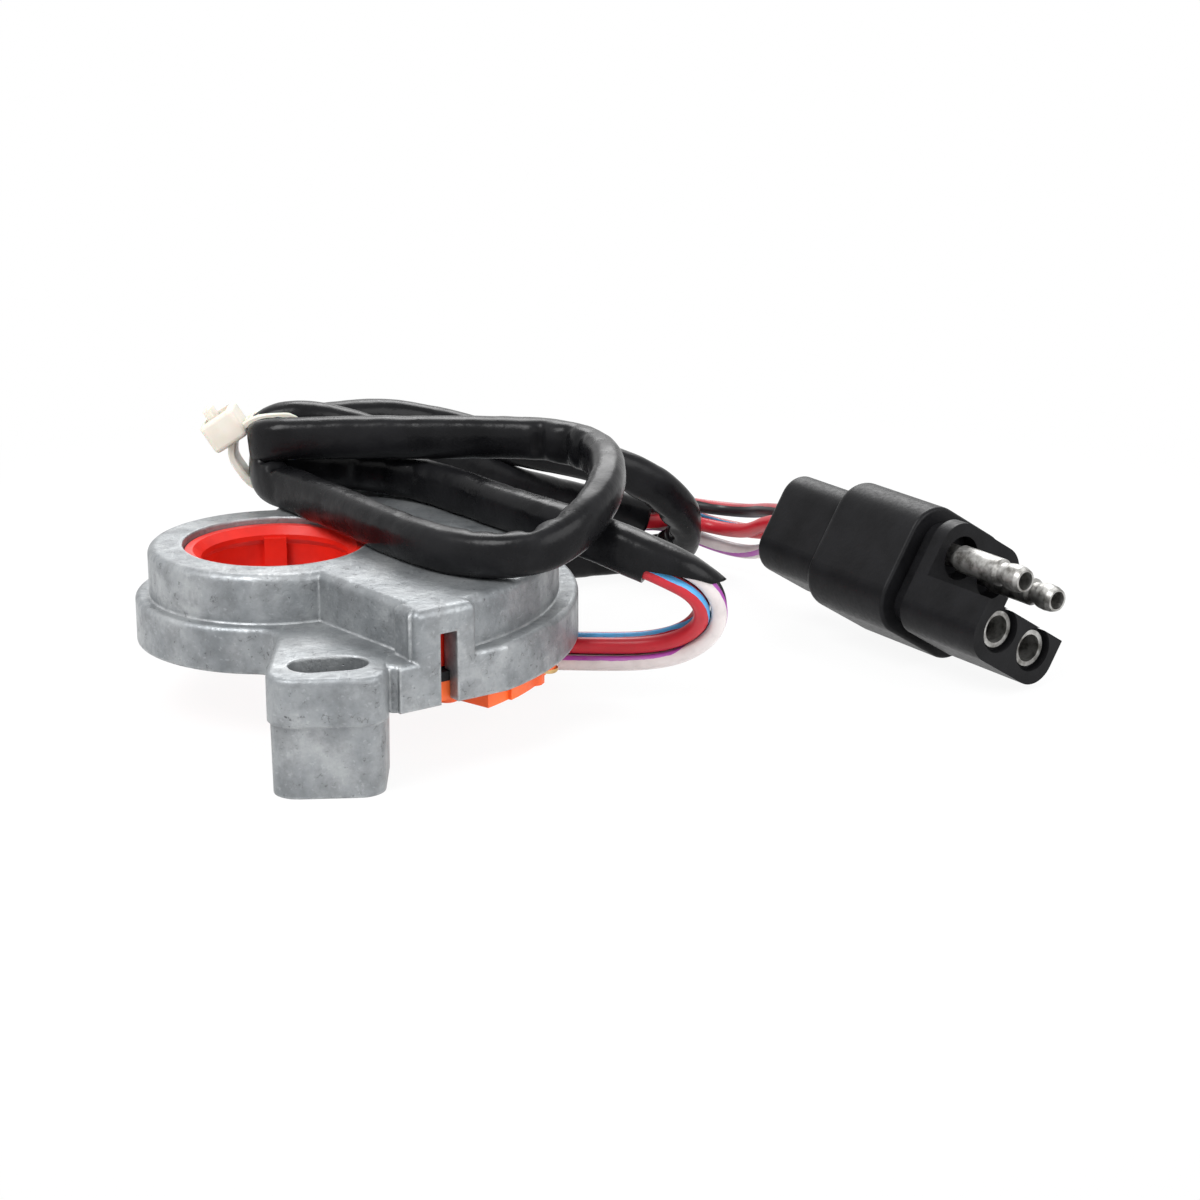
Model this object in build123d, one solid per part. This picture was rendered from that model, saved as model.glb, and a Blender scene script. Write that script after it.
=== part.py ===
from build123d import *
import math
import os

# Neutral safety switch of a car's automatic gearbox, with its lead folded and tied and its plug.
# Millimetres. The origin is on the rotor's axis, in the plane of the housing's lower rim, +Z up.
# X runs from the hub to the fan, and -Y is the side of the front ear and the gauge slot.

# Levels of the housing
topZ = 15.0
flangeZ = 7.25
rimZ = 0.0
footZ = -11.2
ledgeZ = 4.2
roofZ = 12.4
hubShoulderZ = 9.8

# Radii of the housing about the rotor's axis
hubR = 20.1
fanR = 45.1
flangeStep = 2.2
flangeFanR = 48.2
boreR = 14.65
wall = 2.3
hubCavityR = 17.6
fanCavityR = 42.8
rimWall = 2.35

# The two side walls of the fan, as points in plan
frontWall = [(5.0, -13.9), (22.0, -33.6), (24.6, -41.0)]
farWall = [(-4.6, 10.0), (6.2, 62.0)]

# The flat tab with the gauge slot
tabAngle = -54.5
tabFace = 46.3
tabShift = 2.75
tabHalfWidth = 5.35
tabCorner = 0.9
slotAngle = -50.6
slotWidth = 3.0
slotTopZ = 11.0

# The two ears, their slotted holes and their legs
earOutline = [(2.9, -16.0), (3.1, -47.4), (20.9, -46.1), (20.6, -30.0)]
earCorner = 4.5
earHollow = 4.0
bumpAt = (21.6, -38.6)
bumpR = 1.7
earSlotAt = (11.9, -39.4)
earSlotLength = 12.0
earSlotWidth = 7.0
earSlotTurn = 13.0
earMirrorAngle = 13.0
legInset = 0.45
legInnerY = -32.6
legDraft = 0.8
upperRounding = 1.3
flangeRounding = 0.8

# The rotor
rotorR = 14.6
rotorBoreR = 12.2
lipR = 11.7
rotorTopZ = 14.0
rotorFootZ = -0.4
armZ = (4.4, 9.6)
armR = 42.4
armFrom = -50.5
armTo = 19.5
keyAngle = 96.5
keyWidth = 3.6
keyReach = 10.7
sealR = 13.68
sealWire = 0.88
upperSealZ = 11.7
lowerSealZ = 1.0
pocketRoofZ = 8.6

# The base plate, the gasket and the contacts
plateTopZ = 2.6
plateFootZ = -0.4
plateGap = 0.15
padFootZ = -3.6
gasketTopZ = 4.1
gasketWidth = 3.2
stripThick = 0.7
bridgeAngle = -15.5
gearStep = 12.0
innerContactR = 31.0
outerContactR = 39.0
outletX = (32.0, 43.0)
outletHalfY = 4.6
outletFootZ = -6.2

# The rivets: azimuth and radius of the plate's, radius and azimuth of the terminals'
rivetPlaces = [(-10.0, 44.2), (34.0, 44.2), (74.0, 44.2), (180.0, 18.7)]
terminalPlaces = [(26.9, -3.5), (39.0, 15.8), (34.0, -9.6), (36.0, 2.8)]
rivetR = 0.9
rivetHoleR = 0.95
rivetTopZ = 6.4
terminalR = 0.8
terminalHoleR = 0.85
terminalZ = (-1.0, 3.5)

# The lead
wireD = 2.6
sleeveD = 6.5

# The tied folds in plan and their height, kept clear of the strands below and beside them
foldPlan = [
    (-1.6, 16.3),
    (3.8, 21.2),
    (4.6, 22.0),
    (4.6, 41.4),
    (-2.4, 41.6),
    (-8.2, 35.0),
    (-8.6, 26.4),
    (-5.2, 19.4),
]
foldZ = (15.15, 30.7)

# The tie: its strap's outer line in an upright plane, as X and Z, and its head
strapY = 30.0
strapLoop = [
    (-2.0, 29.4),
    (1.6, 28.6),
    (3.3, 25.4),
    (3.2, 20.4),
    (0.6, 16.6),
    (-3.2, 15.45),
    (-6.8, 16.4),
    (-9.2, 18.9),
    (-10.7, 22.6),
    (-8.6, 27.2),
]
strapWidth = 4.7
strapThick = 1.25
headAt = (-11.2, 26.4)
headSize = (6.4, 7.0, 5.4)
headTurn = 33.0

# The plug: the middle of its nose face and its axes, then its sections along the nose's axis
noseAt = (120.70, 2.51, 1.82)
noseDirection = (0.5938, -0.8042, -0.0263)
pinRow = (0.6783, 0.5179, -0.5212)
pitch = 8.9
noseWidth = 20.0
noseHeight = 20.2
noseCorner = 4.6
lowerTop = -0.8
shoulderZ = -14.6
blockZ = (-39.5, -20.0)
blockWidth = 23.9
blockHeight = 22.5
blockCorner = 6.1
grooveLength = 2.8
grooveDepth = 1.2
gripWidth = 19.3
gripHeight = 17.7
gripCorner = 4.6
gripEndZ = -55.5

# The bullets: the barrel that a socket grips, and the thinner shank that holds it in the rubber
pinR = 2.285
pinZ = (-14.2, -5.2)
shankR = 1.9
shankFootZ = -23.4
recessR = 3.7
recessDepth = 3.0
socketR = 3.05
socketBoreR = 2.3
socketZ = (-9.9, -1.0)


def at(radius, angle, z=0.0):
    # A point at a radius and an azimuth in degrees about the rotor's axis
    return (radius * math.cos(math.radians(angle)), radius * math.sin(math.radians(angle)), z)


def wedge(fromAngle, toAngle, reach=90.0):
    # A flat wedge from the rotor's axis between two azimuths under 180 degrees apart
    middle = (fromAngle + toAngle) / 2
    corners = [(0, 0), at(reach, fromAngle)[:2], at(2 * reach, middle)[:2], at(reach, toAngle)[:2]]
    return make_face(Polyline(*corners, close=True))


def sector(innerR, outerR, fromAngle, toAngle):
    return (Circle(outerR) - Circle(innerR)) & wedge(fromAngle, toAngle)


def prism(face, lowZ, highZ):
    return extrude(Pos(0, 0, lowZ) * face, highZ - lowZ)


def planForm(hub, fan, grow=0.0):
    # The switch seen from above: a round hub and a fan between the two side walls
    corners = frontWall + [(95.0, -41.0), (95.0, 62.0), farWall[1], farWall[0]]
    fanFace = make_face(Polyline(*corners, close=True)) & Circle(fan)
    face = Circle(hub) + fanFace
    if grow:
        face = offset(face, amount=grow)
    return face


def beyondTab(distance):
    # Everything outside the tab's flat face, moved to a distance from the axis
    return Rot(0, 0, tabAngle) * Pos(distance + 30, 0) * Rectangle(60, 80)


def earMirror(shape):
    across = Plane(origin=(0, 0, 0), x_dir=at(1, earMirrorAngle), z_dir=at(1, earMirrorAngle + 90))
    return mirror(shape, about=across)


def earFace():
    outline = make_face(Polyline(*earOutline, close=True))
    return fillet([v for v in outline.vertices() if v.Y < -40], earCorner)


def leg():
    # The leg under the ear, which stands on the gearbox, cut off straight behind
    legFace = offset(earFace(), amount=-legInset) & Pos(10, legInnerY - 20) * Rectangle(60, 40)
    return extrude(Pos(0, 0, rimZ) * legFace, footZ - rimZ, taper=legDraft)


def flangeFace():
    # The lower step with both ears, its inner corners beside the ears rounded
    face = planForm(hubR, flangeFanR - flangeStep, flangeStep) - beyondTab(tabFace)
    face += [earFace(), earMirror(earFace())]
    inner = [v for v in face.vertices() if abs(math.hypot(v.X, v.Y) - hubR - flangeStep) < 0.05]
    return fillet(inner, earHollow)


def housing():
    # The die-cast shell: two steps outside, hollow and open below, with a bearing for the rotor
    upper = prism(planForm(hubR, fanR), rimZ, topZ)
    tab = Pos(tabFace - 3, tabShift) * Rectangle(6, 2 * tabHalfWidth)
    tab = Rot(0, 0, tabAngle) * fillet(tab.vertices().sort_by(Axis.X)[-2:], tabCorner)
    body = upper + prism(tab, rimZ, topZ)
    body -= prism(beyondTab(tabFace), rimZ, topZ)
    body = fillet(body.faces().sort_by(Axis.Z)[-1].edges(), upperRounding)
    flange = prism(flangeFace(), rimZ, flangeZ)
    flange = fillet(flange.faces().sort_by(Axis.Z)[-1].edges(), flangeRounding)
    hole = Pos(*earSlotAt) * Rot(0, 0, earSlotTurn) * SlotOverall(earSlotLength, earSlotWidth)
    frontHole = prism(hole, footZ - 1, topZ + 1)
    bumpFace = Circle(bumpR) + Pos(-0.4, 1.9) * Rectangle(3.0, 3.8)
    bump = prism(Pos(*bumpAt) * bumpFace, rimZ, flangeZ)
    bump = fillet(bump.faces().sort_by(Axis.Z)[-1].edges(), flangeRounding)
    body += [flange, leg(), earMirror(leg()), bump]
    body -= [frontHole, earMirror(frontHole)]
    # Inside: the seat of the plate, the fan's hollow and the hub's hollow under the bearing
    seat = planForm(hubR, flangeFanR - flangeStep, -plateGap) - beyondTab(tabFace - rimWall)
    cavity = offset(planForm(hubCavityR + wall, fanCavityR + wall), amount=-wall)
    fanPart = cavity - Circle(hubCavityR)
    body -= prism(seat, rimZ - 1, ledgeZ)
    body -= prism(fanPart, ledgeZ, roofZ)
    body -= prism(Circle(hubCavityR), ledgeZ, hubShoulderZ)
    body -= prism(Circle(boreR), rimZ - 1, topZ + 1)
    # The gauge slot, open to the rim
    gauge = Rot(0, 0, tabAngle) * Pos(tabFace, tabFace * math.tan(math.radians(slotAngle - tabAngle)))
    body -= prism(gauge * Rectangle(10, slotWidth), rimZ - 1, slotTopZ)
    for angle, radius in rivetPlaces:
        body -= prism(Pos(*at(radius, angle)[:2]) * Circle(rivetHoleR), rimZ - 1, rivetTopZ + 0.3)
    return body


def rotor():
    # The driven ring with two keys, turned in the housing and the plate, and its contact arm
    half = [
        (rotorBoreR, rotorFootZ),
        (rotorR, rotorFootZ),
        (rotorR, rotorTopZ - 0.4),
        (rotorR - 0.4, rotorTopZ),
        (13.0, rotorTopZ),
        (lipR, rotorTopZ - 1.2),
        (lipR, rotorTopZ - 2.0),
        (rotorBoreR, rotorTopZ - 2.8),
    ]
    ring = revolve(Plane.XZ * make_face(Polyline(*half, close=True)), Axis.Z)
    arm = sector(rotorR - 1, armR, armFrom, armTo) + sector(rotorR - 1, hubCavityR - 0.4, -90, 60)
    arm += sector(rotorR - 1, hubCavityR - 0.4, 59, 180) + sector(rotorR - 1, hubCavityR - 0.4, 179, 271)
    body = ring + prism(arm, *armZ)
    # Windows that lighten the arm on each side of the contact pocket
    for start, end in ((-44.0, -25.0), (-6.0, 13.0)):
        window = fillet(sector(21.5, 37.5, start, end).vertices(), 1.8)
        body -= prism(window, armZ[0] + 1.6, armZ[1] + 1)
    pocket = Rot(0, 0, bridgeAngle) * Pos(35.0, 0) * RectangleRounded(14.4, 6.0, 1.0)
    body -= prism(pocket, armZ[0] - 1, pocketRoofZ)
    keyRoot = rotorBoreR - 0.4
    for angle in (keyAngle, keyAngle + 180):
        key = Rot(0, 0, angle) * Pos(keyRoot, 0) * Rectangle(2 * (keyRoot - keyReach), keyWidth)
        body += prism(key, rimZ, rotorTopZ - 1.6)
    for level in (upperSealZ, lowerSealZ):
        groove = Pos(0, 0, level) * (Cylinder(rotorR + 1, 2.0) - Cylinder(sealR - sealWire - 0.05, 3.0))
        body -= groove
    return body


def seal(level):
    return Pos(0, 0, level) * Torus(sealR, sealWire)


def basePlate():
    # The moulded plate that closes the housing, with its pads below and the wire outlet
    face = planForm(hubR, flangeFanR - flangeStep, -2 * plateGap) - beyondTab(tabFace - rimWall - plateGap)
    body = prism(face, plateFootZ, plateTopZ)
    pads = sector(37.0, 44.4, -38.5, -31.5) + sector(36.5, 45.0, -32.0, -22.0)
    pads += Pos(*at(43.9, -20.5)[:2]) * Circle(1.9)
    body += prism(pads & face, padFootZ, plateFootZ)
    well = offset(sector(24.0, 37.0, -40.0, 38.0), amount=1.5)
    body += prism(well, padFootZ, plateFootZ)
    body -= prism(sector(25.0, 36.0, -38.5, -12.0), padFootZ - 1, padFootZ + 1.2)
    body -= prism(sector(25.0, 36.0, 12.0, 36.5), padFootZ - 1, padFootZ + 1.2)
    outlet = Pos(sum(outletX) / 2, 0) * RectangleRounded(outletX[1] - outletX[0], 2 * outletHalfY, 1.2)
    body += prism(outlet, outletFootZ, plateFootZ)
    for angle, radius in rivetPlaces[:3]:
        boss = Pos(*at(radius - 1.5, angle)[:2]) * Circle(2.6)
        body += prism(boss & face, padFootZ, plateFootZ)
    body -= prism(Circle(boreR), outletFootZ - 1, plateTopZ + 1)
    for angle, radius in rivetPlaces:
        body -= Pos(*at(radius, angle)) * Cylinder(rivetHoleR, 12)
    for radius, angle in terminalPlaces:
        body -= Pos(*at(radius, angle)) * Cylinder(terminalHoleR, 12)
    return body


def gasket():
    outer = planForm(hubR, flangeFanR - flangeStep, -2 * plateGap) - beyondTab(tabFace - rimWall - plateGap)
    inner = offset(outer, amount=-gasketWidth)
    face = outer - inner - Circle(hubR - plateGap * 2 - 1.9)
    body = prism(face, plateTopZ, gasketTopZ)
    for angle, radius in rivetPlaces:
        body -= Pos(*at(radius, angle, gasketTopZ)) * Cylinder(rivetHoleR, 6)
    return body


def rivets():
    # Four rivets that hold the plate, heads below
    group = []
    for angle, radius in rivetPlaces:
        headZ = padFootZ if radius > 40 and angle < 90 else plateFootZ
        shank = Pos(*at(radius, angle, (headZ + rivetTopZ) / 2)) * Cylinder(rivetR, rivetTopZ - headZ)
        head = Pos(*at(radius, angle, headZ - 0.4)) * Cylinder(1.5, 0.8)
        group.append(shank + fillet(head.edges().sort_by(Axis.Z)[0], 0.5))
    return Compound(children=group)


def strip(pads, tracks, hole):
    # A fixed contact stamped from brass strip: radial pads joined by curved tracks
    face = None
    for angle, innerR, outerR in pads:
        pad = Rot(0, 0, angle) * Pos((innerR + outerR) / 2, 0) * RectangleRounded(outerR - innerR, 3.8, 0.6)
        face = pad if face is None else face + pad
    for innerR, outerR, start, end in tracks:
        face += sector(innerR, outerR, start, end)
    face -= Pos(*at(*hole)[:2]) * Circle(terminalHoleR)
    return prism(face, plateTopZ, plateTopZ + stripThick)


def terminalRivets():
    group = []
    for radius, angle in terminalPlaces:
        shank = prism(Pos(*at(radius, angle)[:2]) * Circle(terminalR), *terminalZ)
        head = prism(Pos(*at(radius, angle)[:2]) * Circle(1.3), plateTopZ + stripThick, terminalZ[1])
        group.append(shank + head)
    return Compound(children=group)


def bridge():
    # The sliding contact: a sprung brass bar with two rounded feet
    barZ = 4.0
    place = Rot(0, 0, bridgeAngle)
    bar = prism(Pos(35.0, 0) * RectangleRounded(13.2, 4.8, 0.8), barZ, barZ + 0.8)
    for radius in (innerContactR, outerContactR):
        foot = Pos(radius, 0, barZ + 1.4) * Sphere(1.9) & Pos(radius, 0, barZ - 1) * Box(5, 5, 2)
        bar += foot
        bar -= Pos(radius, 0, barZ + 0.8) * Cylinder(0.7, 0.5)
    return place * bar


def bridgeSprings():
    group = []
    barTopZ = 4.8
    wire = 0.5
    for radius in (innerContactR, outerContactR):
        coil = Helix(pitch=1.1, height=pocketRoofZ - barTopZ - 1.1 * wire, radius=1.6)
        section = Plane(origin=coil @ 0, z_dir=coil % 0) * Circle(wire / 2)
        spring = sweep(section, path=coil, is_frenet=True)
        group.append(Rot(0, 0, bridgeAngle) * Pos(radius, 0, barTopZ + 0.55 * wire) * spring)
    return Compound(children=group)


def turns(points):
    # The largest arcs that the runs of a route leave room for
    radii = []
    for before, corner, after in zip(points, points[1:], points[2:]):
        a, b = Vector(*corner) - Vector(*before), Vector(*after) - Vector(*corner)
        half = math.radians(a.get_angle(b)) / 2
        radii.append(0.45 * min(a.length, b.length) / math.tan(half))
    return radii


def tube(name, points, diameter):
    radii = turns(points)
    path = FilletPolyline(*points, radius=radii)
    section = Plane(origin=path @ 0, z_dir=path % 0) * Circle(diameter / 2)
    body = sweep(section, path=path)
    share = body.volume / (math.pi * diameter**2 / 4 * path.length)
    print(f"{name}: {path.length:.0f} mm, smallest radius {min(radii):.1f}, volume share {share:.3f}")
    return body


def beside(points, angle, spreads, twist=0.0):
    # One wire of a bundle: its place round the bundle's middle, which twists evenly along the route
    moved = []
    last = len(points) - 1
    for index, point in enumerate(points):
        along = (Vector(*points[min(index + 1, last)]) - Vector(*points[max(index - 1, 0)])).normalized()
        sideways = (Vector(0, 1, 0) - along * along.Y).normalized()
        place = math.radians(angle + twist * index / last)
        away = sideways * math.cos(place) + sideways.cross(along) * math.sin(place)
        moved.append(tuple(Vector(*point) + away * spreads[index]))
    return moved


def cutBeyond(body, point, onward):
    # Ends a cord at a plane, so that it meets what it enters face to face
    return body - Plane(origin=point, z_dir=onward) * Pos(0, 0, 15) * Box(30, 30, 30)


# Middle of the four wires from the plate's outlet to the mouth of the sleeve
leadRoute = [
    (42.6, 0.0, -3.3),
    (51.6, 0.0, -3.5),
    (59.6, -1.8, -2.8),
    (65.8, -4.2, -0.2),
    (69.6, -6.8, 4.0),
    (70.0, -9.4, 8.8),
    (67.0, -11.4, 12.6),
    (62.9, -12.1, 14.0),
    (58.4, -10.5, 15.4),
]
leadSpread = [2.05] * len(leadRoute)
leadAngles = {"red_lead_a": -135, "white_lead": 135, "red_lead_b": -45, "black_lead": 45}

# The sleeve in four strands between its mouth, the tied folds and its other end
entryRoute = [
    (58.4, -10.5, 15.4),
    (51.5, -7.9, 17.6),
    (44.5, -2.6, 18.6),
    (37.6, 5.6, 18.5),
    (30.4, 15.2, 18.5),
    (22.5, 24.6, 18.7),
    (13.5, 28.6, 19.4),
    (3.6, 28.3, 20.6),
]
farRoute = [
    (3.6, 37.8, 25.1),
    (14.0, 42.0, 25.4),
    (24.0, 45.6, 22.6),
    (35.0, 47.8, 19.3),
    (47.0, 49.4, 16.6),
    (58.5, 52.0, 12.8),
    (66.3, 57.0, 5.2),
    (67.6, 63.2, -2.0),
    (63.0, 70.4, -7.3),
    (54.0, 72.6, -7.9),
    (43.5, 67.6, -7.6),
    (35.0, 60.0, -3.4),
    (28.0, 53.6, 4.6),
    (21.5, 48.8, 14.4),
    (13.6, 42.8, 18.9),
    (3.6, 34.9, 18.5),
]
nearRoute = [
    (3.6, 23.3, 26.1),
    (14.0, 23.7, 26.3),
    (24.5, 23.4, 26.2),
    (35.0, 23.2, 26.4),
    (44.0, 21.6, 26.3),
    (50.4, 15.2, 26.2),
    (53.0, 4.6, 26.2),
    (52.8, -5.6, 25.4),
    (50.0, -15.4, 22.8),
    (43.6, -21.6, 19.4),
    (34.8, -22.0, 18.5),
    (25.6, -15.8, 18.5),
    (17.4, -4.8, 18.4),
    (10.8, 5.2, 18.5),
    (5.6, 12.6, 18.4),
    (0.9, 18.9, 18.5),
]
exitRoute = [
    (3.6, 30.5, 27.4),
    (14.0, 34.8, 23.4),
    (22.5, 38.4, 19.8),
    (30.0, 43.2, 15.2),
    (38.0, 50.0, 10.4),
    (47.8, 58.6, 5.8),
    (58.6, 66.8, 1.2),
]

# Middle of the four wires from the sleeve's other end to the back of the plug's grip
tailRoute = [
    (58.6, 66.8, 1.2),
    (65.0, 73.2, 0.0),
    (72.4, 75.4, -3.0),
    (79.2, 70.4, -3.0),
    (82.4, 62.2, -0.2),
    (84.4, 54.6, 2.2),
    (87.74, 47.14, 3.28),
]
tailSpread = [2.05, 2.2, 3.3, 3.9, 3.6, 3.0, 2.8]
tailAngles = {"red_tail_a": 156.4, "white_tail": 66.4, "red_tail_b": -23.6, "black_tail": -113.6}
tailTwist = 100.0


def foldBlock():
    # The gathered ends of the sleeve's three folds
    face = make_face(Polyline(*foldPlan, close=True))
    corners = [v for v in face.vertices() if v.X < 0]
    block = prism(fillet(corners, 1.6), *foldZ)
    top = block.faces().sort_by(Axis.Z)[-1]
    return fillet([e for e in top.edges() if e.center().X < 4.5], 1.4)


def strapFace(inset):
    # The area inside the strap's line, after each point has moved inwards
    points = []
    before = strapLoop[-1:] + strapLoop[:-1]
    after = strapLoop[1:] + strapLoop[:1]
    for (x0, z0), (x, z), (x1, z1) in zip(before, strapLoop, after):
        along = Vector(x1 - x0, z1 - z0).normalized()
        points.append((x + inset * along.Y, z - inset * along.X))
    return make_face(Spline(*points, periodic=True))


def strapRing(extra=0.0):
    # The strap of the tie: a flat band bent round into an upright ring through the folds
    face = strapFace(-extra) - strapFace(strapThick + extra)
    band = extrude(Plane.XZ * face, strapWidth / 2 + extra, both=True)
    return band.moved(Location((0, strapY, 0)))


def tieHead(extra=0.0):
    # The tie's latch head, with the strap's cut end standing out of it
    head = Box(*[side + 2 * extra for side in headSize])
    head = fillet(head.edges(), 0.6)
    stub = Pos(-0.7, 0, 3.3) * Box(1.6, 4.2, 2.0)
    return Pos(headAt[0], strapY, headAt[1]) * Rot(0, -headTurn, 0) * (head + stub)


nose = Plane(origin=noseAt, x_dir=pinRow, z_dir=noseDirection)


def section(width, height, corner, lowZ, highZ):
    return extrude(Pos(0, 0, lowZ) * RectangleRounded(width, height, corner), highZ - lowZ)


def plugBody():
    # The moulded plug in its own axes: nose face at 0, pins on the upper row and sockets below
    half = pitch / 2
    grooveEndZ = blockZ[1] + grooveLength
    coreSize = [noseWidth - 2 * grooveDepth, noseHeight - 2 * grooveDepth, noseCorner - grooveDepth]
    core = section(*coreSize, blockZ[1] - 1, grooveEndZ + 1)
    body = section(noseWidth, noseHeight, noseCorner, grooveEndZ, shoulderZ)
    lowerHeight = noseHeight / 2 + lowerTop
    lower = RectangleRounded(noseWidth, noseHeight, noseCorner)
    lower &= Pos(0, lowerTop - lowerHeight / 2) * Rectangle(noseWidth, lowerHeight)
    body += extrude(Pos(0, 0, shoulderZ - 1) * lower, 1 - shoulderZ)
    block = section(blockWidth, blockHeight, blockCorner, *blockZ)
    block = fillet(block.faces().sort_by(Axis.Z)[0].edges(), 1.6)
    block = fillet(block.faces().sort_by(Axis.Z)[-1].edges(), 0.6)
    grip = section(gripWidth, gripHeight, gripCorner, gripEndZ, blockZ[0] + 1)
    grip = fillet(grip.faces().sort_by(Axis.Z)[0].edges(), 1.2)
    body += [core, block, grip]
    for side in (-1, 1):
        body -= Pos(side * half, half, shoulderZ) * Cylinder(recessR, 2 * recessDepth)
        body -= Pos(side * half, half, shoulderZ - 5.0) * Cylinder(shankR + 0.05, 10.0)
        body -= Pos(side * half, -half) * Cylinder(recessR, 2 * 1.4)
        body -= Pos(side * half, -half, -5.0) * Cylinder(socketR + 0.05, 10.0)
    return nose * body


def bullet(side):
    # A hollow male bullet: a shank in the rubber, a barrel, a waist and a rounded open tip
    profile = [
        (1.5, shankFootZ),
        (shankR, shankFootZ),
        (shankR, pinZ[0]),
        (pinR, pinZ[0]),
        (pinR, pinZ[1]),
        (1.85, -4.6),
        (1.85, -3.9),
        (2.15, -2.9),
        (2.24, -1.7),
        (2.14, -0.6),
        (1.85, 0.25),
        (1.5, 0.25),
    ]
    pin = revolve(Plane.XZ * make_face(Polyline(*profile, close=True)), Axis.Z)
    return nose * (Pos(side * pitch / 2, pitch / 2) * pin)


def socket(side):
    # A plain sleeve in the nose, set back a little from the face
    sleeve = prism(Circle(socketR) - Circle(socketBoreR), *socketZ)
    return nose * (Pos(side * pitch / 2, -pitch / 2) * sleeve)


def build():
    nodes = {
        "housing": housing(),
        "rotor": rotor(),
        "rotor_seal_upper": seal(upperSealZ),
        "rotor_seal_lower": seal(lowerSealZ),
        "contact_bridge": bridge(),
        "bridge_springs": bridgeSprings(),
        "base_plate": basePlate(),
        "plate_gasket": gasket(),
        "plate_rivets": rivets(),
        "terminal_rivets": terminalRivets(),
        "plug_body": plugBody(),
        "tied_folds": foldBlock() - strapRing(0.1) - tieHead(0.1),
        "cable_tie": strapRing() + tieHead(),
    }
    park, reverse, neutral = bridgeAngle, bridgeAngle + gearStep, bridgeAngle + 2 * gearStep
    nodes["start_feed_strip"] = strip(
        [(park, 26.4, 32.6), (neutral, 26.4, 32.6)],
        [(25.6, 28.2, park - 3, neutral + 3)],
        terminalPlaces[0],
    )
    nodes["start_switched_strip"] = strip(
        [(park, 37.4, 41.2), (neutral, 37.4, 41.2)],
        [(40.4, 41.6, park - 2, neutral + 2), (37.8, 40.2, neutral, 18.5)],
        terminalPlaces[1],
    )
    nodes["reverse_feed_strip"] = strip(
        [(reverse, 29.4, 34.8)], [(33.0, 35.0, -11.5, reverse)], terminalPlaces[2]
    )
    nodes["reverse_switched_strip"] = strip(
        [(reverse, 35.6, 40.0)], [(35.2, 37.0, reverse, 4.8)], terminalPlaces[3]
    )
    for side, place in ((-1, "front"), (1, "rear")):
        nodes[f"plug_pin_{place}"] = bullet(side)
        nodes[f"plug_socket_{place}"] = socket(side)
    gripEnd = tuple(Vector(*noseAt) + Vector(*noseDirection) * gripEndZ)
    mouth = Vector(*entryRoute[1]) - Vector(*entryRoute[0])
    end = Vector(*exitRoute[-2]) - Vector(*exitRoute[-1])
    for name, angle in leadAngles.items():
        wire = tube(name, beside(leadRoute, angle, leadSpread), wireD)
        wire = cutBeyond(wire, (outletX[1], 0, -3.3), (-1, 0, 0))
        nodes[name] = cutBeyond(wire, entryRoute[0], tuple(mouth))
    strands = {
        "sleeve_entry": entryRoute,
        "sleeve_far_loop": farRoute,
        "sleeve_near_loop": nearRoute,
        "sleeve_exit": exitRoute,
    }
    for name, route in strands.items():
        nodes[name] = tube(name, route, sleeveD) - foldBlock()
    for name, angle in tailAngles.items():
        wire = tube(name, beside(tailRoute, angle, tailSpread, tailTwist), wireD)
        wire = cutBeyond(wire, exitRoute[-1], tuple(end))
        nodes[name] = cutBeyond(wire, gripEnd, noseDirection)
    return nodes


os.makedirs("parts", exist_ok=True)
for name, shape in build().items():
    export_step(shape, f"parts/{name}.step")
    print("wrote", name)
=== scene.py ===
import bmesh
import bpy
import math
import numpy as np
from mathutils import Matrix, Vector, noise


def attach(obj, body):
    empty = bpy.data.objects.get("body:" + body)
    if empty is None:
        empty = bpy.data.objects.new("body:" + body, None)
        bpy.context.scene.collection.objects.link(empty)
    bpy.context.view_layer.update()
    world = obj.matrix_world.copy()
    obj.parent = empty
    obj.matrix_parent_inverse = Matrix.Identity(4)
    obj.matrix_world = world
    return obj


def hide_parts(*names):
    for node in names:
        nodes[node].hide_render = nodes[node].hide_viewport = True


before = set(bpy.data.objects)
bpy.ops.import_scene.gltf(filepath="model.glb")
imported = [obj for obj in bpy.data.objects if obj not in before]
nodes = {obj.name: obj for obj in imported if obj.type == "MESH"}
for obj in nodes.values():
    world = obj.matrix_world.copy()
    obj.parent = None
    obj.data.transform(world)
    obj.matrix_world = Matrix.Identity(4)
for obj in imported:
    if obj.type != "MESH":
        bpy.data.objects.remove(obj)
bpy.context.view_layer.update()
mm = 0.001
switchBody = "switch_body"

# camera, floor and light

camera = {"at": (0.05165, -0.4286, 0.1344), "pitchDown": 16.78, "lens": 84.0, "sensor": 36.0}
floorPlace = {"z": -0.0112, "size": 6.0, "middle": (0.045, 0.015, -0.0112)}
lamps = [
    {"name": "keyLight", "at": (-0.28, -0.34, 0.62), "aim": (0.04, 0.0, 0.0), "size": 0.42, "watts": 5.6},
    {"name": "fillLight", "at": (0.62, -0.42, 0.34), "aim": (0.05, 0.0, 0.0), "size": 0.60, "watts": 3.6},
    {"name": "rimLight", "at": (0.10, 0.62, 0.55), "aim": (0.05, 0.02, 0.0), "size": 0.55, "watts": 4.4},
]


def makeCamera():
    data = bpy.data.cameras.new("viewCamera")
    data.lens = camera["lens"]
    data.sensor_width = camera["sensor"]
    data.clip_start = 0.01
    eye = bpy.data.objects.new("viewCamera", data)
    eye.location = camera["at"]
    eye.rotation_euler = (math.radians(90 - camera["pitchDown"]), 0, 0)
    bpy.context.scene.collection.objects.link(eye)
    bpy.context.scene.camera = eye


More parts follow.
